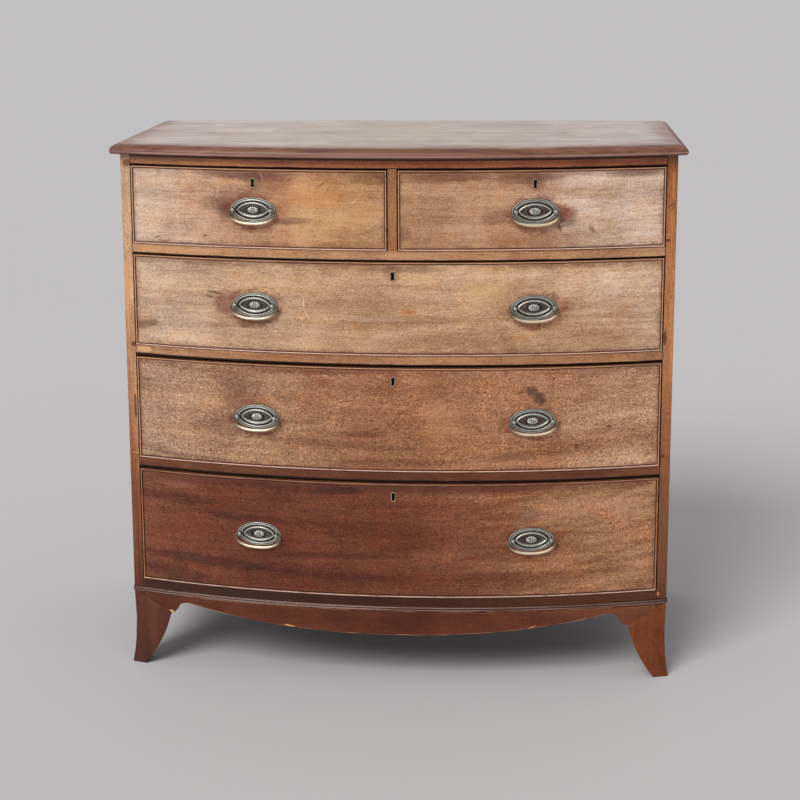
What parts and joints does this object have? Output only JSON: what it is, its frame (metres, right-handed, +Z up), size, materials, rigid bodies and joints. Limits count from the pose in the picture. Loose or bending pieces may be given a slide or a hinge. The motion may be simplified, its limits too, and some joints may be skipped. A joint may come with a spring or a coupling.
{
  "type": "bow front chest of drawers",
  "caption": "Bow front chest of short over long graduated drawers with cockbeaded fronts, oval bail handles, a reeded base bead, a shaped apron and French bracket feet.",
  "frame": {"origin": "on the floor, under the middle of the chest's overall width and depth", "axes": "+X to the chest's right as seen from the front, the bowed front towards -Y, +Z up"},
  "size_m": [1.064, 0.567, 1.022],
  "materials": {
    "case_mahogany": "worn french polish, warm orange brown",
    "drawer_mahogany": "worn french polish, faded golden brown to dark red",
    "top_mahogany": "faded and greyed, semi-matt",
    "dark_mahogany": "dark red brown polish, worn at the edges",
    "bead_mahogany": "dark polish, rubbed light on the reeds",
    "pine": "bare, dry and darkened",
    "oak": "bare, rubbed smooth",
    "lock_brass": "dull",
    "antique_brass": "grey green patina, rubbed gold where held"
  },
  "bodies": {
    "carcase": {"top_board": "top_mahogany", "left_side": "case_mahogany", "right_side": "case_mahogany", "back_boards": "pine", "bottom_board": "dark_mahogany", "top_rail": "case_mahogany", "upper_divider": "case_mahogany", "middle_divider": "case_mahogany", "lower_divider": "case_mahogany", "short_drawer_partition": "case_mahogany", "upper_dustboard": "pine", "middle_dustboard": "pine", "lower_dustboard": "pine", "shaped_apron": "dark_mahogany", "reeded_base_bead": "bead_mahogany", "front_left_foot": "dark_mahogany", "front_right_foot": "dark_mahogany", "rear_left_foot": "dark_mahogany", "rear_right_foot": "dark_mahogany"},
    "short_left_pull": {"short_left_bail": "antique_brass"},
    "short_left_drawer": {"short_left_drawer_front": "drawer_mahogany", "short_left_drawer_box": "oak", "short_left_drawer_bottom": "pine", "short_left_lock_case": "lock_brass", "short_left_handle_plate": "antique_brass"},
    "short_left_bolt": {"short_left_lock_bolt": "lock_brass"},
    "short_right_pull": {"short_right_bail": "antique_brass"},
    "short_right_drawer": {"short_right_drawer_front": "drawer_mahogany", "short_right_drawer_box": "oak", "short_right_drawer_bottom": "pine", "short_right_lock_case": "lock_brass", "short_right_handle_plate": "antique_brass"},
    "short_right_bolt": {"short_right_lock_bolt": "lock_brass"},
    "upper_long_left_pull": {"upper_long_left_bail": "antique_brass"},
    "upper_long_right_pull": {"upper_long_right_bail": "antique_brass"},
    "upper_long_drawer": {"upper_long_drawer_front": "drawer_mahogany", "upper_long_drawer_box": "oak", "upper_long_drawer_bottom": "pine", "upper_long_lock_case": "lock_brass", "upper_long_left_handle_plate": "antique_brass", "upper_long_right_handle_plate": "antique_brass"},
    "upper_long_bolt": {"upper_long_lock_bolt": "lock_brass"},
    "middle_long_left_pull": {"middle_long_left_bail": "antique_brass"},
    "middle_long_right_pull": {"middle_long_right_bail": "antique_brass"},
    "middle_long_drawer": {"middle_long_drawer_front": "drawer_mahogany", "middle_long_drawer_box": "oak", "middle_long_drawer_bottom": "pine", "middle_long_lock_case": "lock_brass", "middle_long_left_handle_plate": "antique_brass", "middle_long_right_handle_plate": "antique_brass"},
    "middle_long_bolt": {"middle_long_lock_bolt": "lock_brass"},
    "lower_long_left_pull": {"lower_long_left_bail": "antique_brass"},
    "lower_long_right_pull": {"lower_long_right_bail": "antique_brass"},
    "lower_long_drawer": {"lower_long_drawer_front": "drawer_mahogany", "lower_long_drawer_box": "oak", "lower_long_drawer_bottom": "pine", "lower_long_lock_case": "lock_brass", "lower_long_left_handle_plate": "antique_brass", "lower_long_right_handle_plate": "antique_brass"},
    "lower_long_bolt": {"lower_long_lock_bolt": "lock_brass"}
  },
  "joints": [
    {"name": "short_left_drawer_slide", "type": "slide", "parent": "carcase", "child": "short_left_drawer", "axis": [0, -1, 0], "range_m": [0, 0.3]},
    {"name": "short_left_bail_hinge", "type": "hinge", "parent": "short_left_drawer", "child": "short_left_pull", "pos_m": [-0.25836, -0.25283, 0.906], "axis": [-0.9885, 0.1514, 0], "range_deg": [-5, 170]},
    {"name": "short_left_bolt_slide", "type": "slide", "parent": "short_left_drawer", "child": "short_left_bolt", "axis": [0, 0, 1], "range_m": [0, 0.009]},
    {"name": "short_right_drawer_slide", "type": "slide", "parent": "carcase", "child": "short_right_drawer", "axis": [0, -1, 0], "range_m": [0, 0.3]},
    {"name": "short_right_bail_hinge", "type": "hinge", "parent": "short_right_drawer", "child": "short_right_pull", "pos_m": [0.25836, -0.25283, 0.906], "axis": [-0.9885, -0.1514, 0], "range_deg": [-5, 170]},
    {"name": "short_right_bolt_slide", "type": "slide", "parent": "short_right_drawer", "child": "short_right_bolt", "axis": [0, 0, 1], "range_m": [0, 0.009]},
    {"name": "upper_long_drawer_slide", "type": "slide", "parent": "carcase", "child": "upper_long_drawer", "axis": [0, -1, 0], "range_m": [0, 0.3]},
    {"name": "upper_long_left_bail_hinge", "type": "hinge", "parent": "upper_long_drawer", "child": "upper_long_left_pull", "pos_m": [-0.25836, -0.25283, 0.729], "axis": [-0.9885, 0.1514, 0], "range_deg": [-5, 170]},
    {"name": "upper_long_right_bail_hinge", "type": "hinge", "parent": "upper_long_drawer", "child": "upper_long_right_pull", "pos_m": [0.25836, -0.25283, 0.729], "axis": [-0.9885, -0.1514, 0], "range_deg": [-5, 170]},
    {"name": "upper_long_bolt_slide", "type": "slide", "parent": "upper_long_drawer", "child": "upper_long_bolt", "axis": [0, 0, 1], "range_m": [0, 0.009]},
    {"name": "middle_long_drawer_slide", "type": "slide", "parent": "carcase", "child": "middle_long_drawer", "axis": [0, -1, 0], "range_m": [0, 0.3]},
    {"name": "middle_long_left_bail_hinge", "type": "hinge", "parent": "middle_long_drawer", "child": "middle_long_left_pull", "pos_m": [-0.25836, -0.25283, 0.516], "axis": [-0.9885, 0.1514, 0], "range_deg": [-5, 170]},
    {"name": "middle_long_right_bail_hinge", "type": "hinge", "parent": "middle_long_drawer", "child": "middle_long_right_pull", "pos_m": [0.25836, -0.25283, 0.516], "axis": [-0.9885, -0.1514, 0], "range_deg": [-5, 170]},
    {"name": "middle_long_bolt_slide", "type": "slide", "parent": "middle_long_drawer", "child": "middle_long_bolt", "axis": [0, 0, 1], "range_m": [0, 0.009]},
    {"name": "lower_long_drawer_slide", "type": "slide", "parent": "carcase", "child": "lower_long_drawer", "axis": [0, -1, 0], "range_m": [0, 0.3]},
    {"name": "lower_long_left_bail_hinge", "type": "hinge", "parent": "lower_long_drawer", "child": "lower_long_left_pull", "pos_m": [-0.25836, -0.25283, 0.287], "axis": [-0.9885, 0.1514, 0], "range_deg": [-5, 170]},
    {"name": "lower_long_right_bail_hinge", "type": "hinge", "parent": "lower_long_drawer", "child": "lower_long_right_pull", "pos_m": [0.25836, -0.25283, 0.287], "axis": [-0.9885, -0.1514, 0], "range_deg": [-5, 170]},
    {"name": "lower_long_bolt_slide", "type": "slide", "parent": "lower_long_drawer", "child": "lower_long_bolt", "axis": [0, 0, 1], "range_m": [0, 0.009]}
  ]
}
